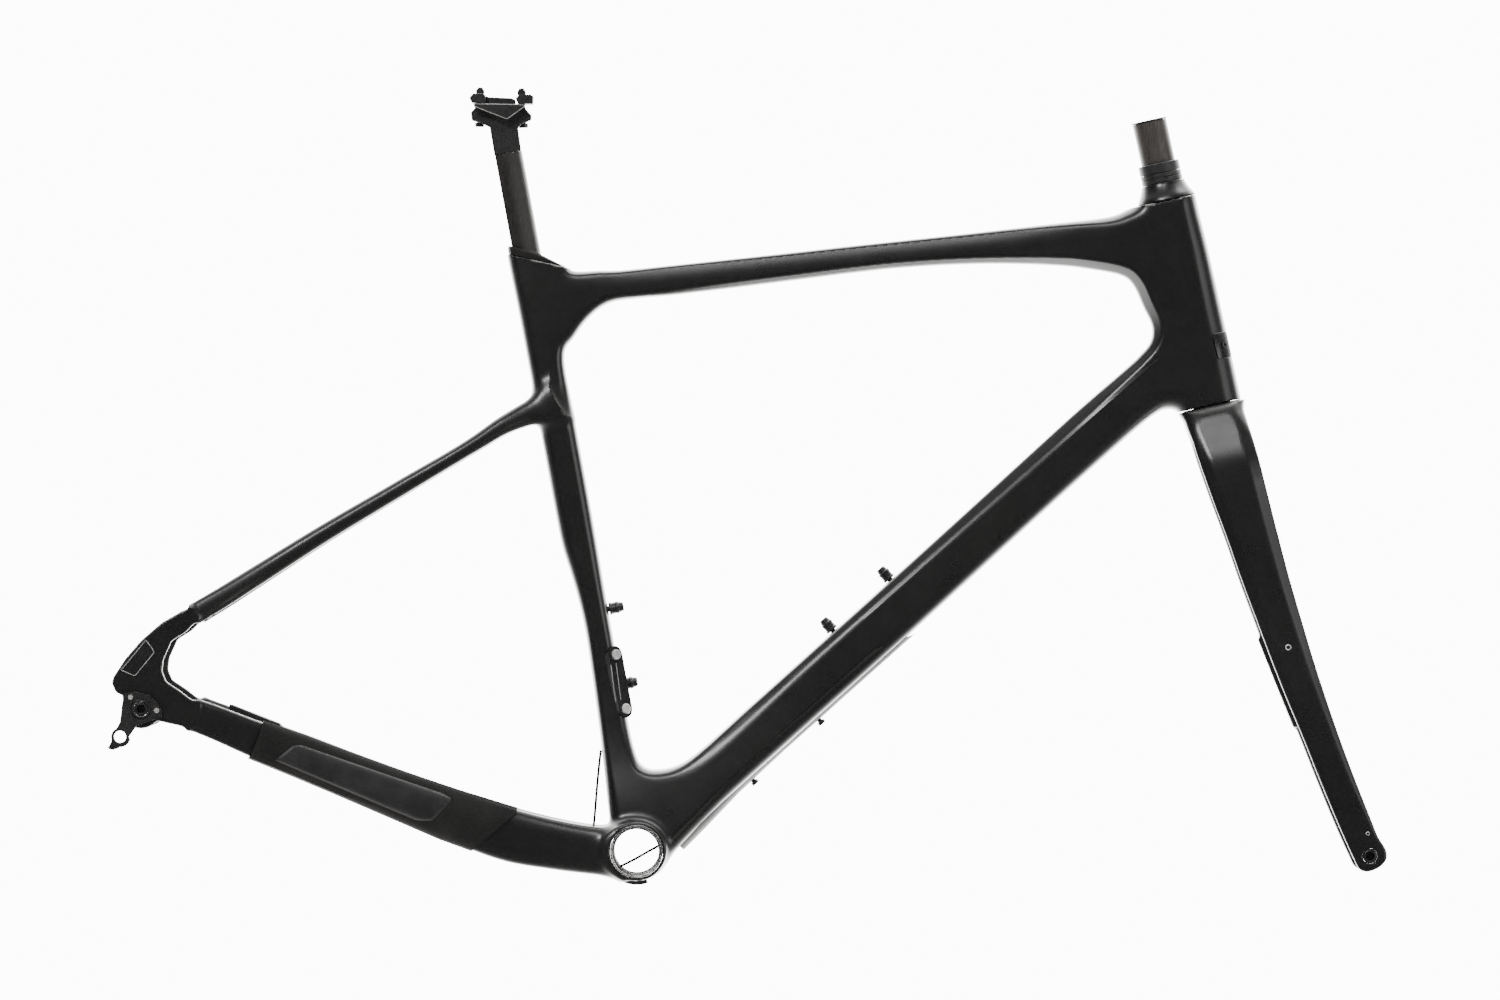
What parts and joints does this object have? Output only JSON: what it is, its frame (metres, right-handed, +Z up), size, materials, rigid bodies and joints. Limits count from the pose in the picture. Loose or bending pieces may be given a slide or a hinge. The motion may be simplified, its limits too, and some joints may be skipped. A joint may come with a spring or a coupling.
{
  "type": "bicycle frame",
  "caption": "Black carbon bicycle frameset with fork, headset, D-shaped seatpost with saddle clamp, dropouts, derailleur hanger and thru-axles.",
  "frame": {"origin": "centre of the bottom bracket, on the bicycle's middle plane", "axes": "+X towards the front axle, +Y to the rider's left, +Z up, with both axles level; the chain side is -Y"},
  "size_m": [1.0705, 0.1696, 0.6909],
  "materials": {
    "satin_paint": "satin black paint over carbon fibre composite",
    "raw_carbon": "bare brown-black carbon fibre composite, satin",
    "black_alloy": "black anodised",
    "silver_steel": "machined",
    "bare_alloy": "machined, bare",
    "rubber": "matte",
    "plastic": "fine grained"
  },
  "bodies": {
    "frame": {"head_tube": "satin_paint", "seat_tube": "satin_paint", "top_tube": "satin_paint", "down_tube": "satin_paint", "bottom_bracket_shell": "satin_paint", "bearing_seat_right": "bare_alloy", "bearing_seat_left": "bare_alloy", "chainstay_right": "satin_paint", "chainstay_left": "satin_paint", "chainstay_yoke": "satin_paint", "seatstay_right": "satin_paint", "seatstay_left": "satin_paint", "dropout_right": "satin_paint", "dropout_left": "satin_paint", "derailleur_hanger": "black_alloy", "hanger_screw_rear": "silver_steel", "hanger_screw_front": "silver_steel", "hanger_axle_nut": "black_alloy", "dropout_cover": "plastic", "chainstay_protector": "rubber", "down_tube_guard": "plastic", "bottle_bolt_seat_upper": "plastic", "bottle_bolt_seat_lower": "plastic", "bottle_bolt_down_upper": "plastic", "bottle_bolt_down_lower": "plastic", "guard_bolt_lower": "silver_steel", "guard_bolt_upper": "silver_steel", "front_mech_cover": "plastic", "mech_screw_lower": "silver_steel", "mech_screw_upper": "silver_steel", "cable_port_cover": "plastic", "cable_port_screw": "black_alloy", "bottom_cable_guide": "plastic", "rear_cable_liner": "plastic", "shell_cable_liner": "plastic", "seat_clamp_cover": "rubber", "seat_clamp_wedge": "black_alloy", "seat_clamp_screw": "black_alloy", "upper_headset_bearing": "silver_steel", "lower_headset_bearing": "silver_steel"},
    "fork": {"fork_crown": "satin_paint", "fork_leg_right": "satin_paint", "fork_leg_left": "satin_paint", "steerer_tube": "raw_carbon", "compression_plug": "black_alloy", "crown_race": "black_alloy", "headset_cover": "black_alloy", "headset_spacer_lower": "black_alloy", "headset_spacer_upper": "black_alloy"},
    "seatpost": {"seatpost_tube": "raw_carbon", "seatpost_head": "black_alloy"},
    "saddle_clamp": {"saddle_cradle": "black_alloy", "rail_clamp_rear": "black_alloy", "rail_clamp_front": "black_alloy", "barrel_nut_rear": "black_alloy", "barrel_nut_front": "black_alloy", "clamp_bolt_rear": "black_alloy", "clamp_bolt_front": "black_alloy"},
    "rear_axle": {"rear_thru_axle": "black_alloy"},
    "front_axle": {"front_thru_axle": "black_alloy"}
  },
  "joints": [
    {"name": "steering", "type": "hinge", "parent": "frame", "child": "fork", "pos_m": [0.3751, 0, 0.5927], "axis": [-0.3305, 0, 0.9438], "continuous": true},
    {"name": "seatpost_height", "type": "slide", "parent": "frame", "child": "seatpost", "axis": [-0.2984, 0, 0.9544], "range_m": [-0.01, 0.12]},
    {"name": "saddle_tilt", "type": "hinge", "parent": "seatpost", "child": "saddle_clamp", "pos_m": [-0.18871, 0, 0.61844], "axis": [0, 1, 0], "range_deg": [-5, 5]},
    {"name": "rear_axle_slide", "type": "slide", "parent": "frame", "child": "rear_axle", "axis": [0, 1, 0], "range_m": [0, 0.17]},
    {"name": "front_axle_slide", "type": "slide", "parent": "fork", "child": "front_axle", "axis": [0, 1, 0], "range_m": [0, 0.13]}
  ]
}
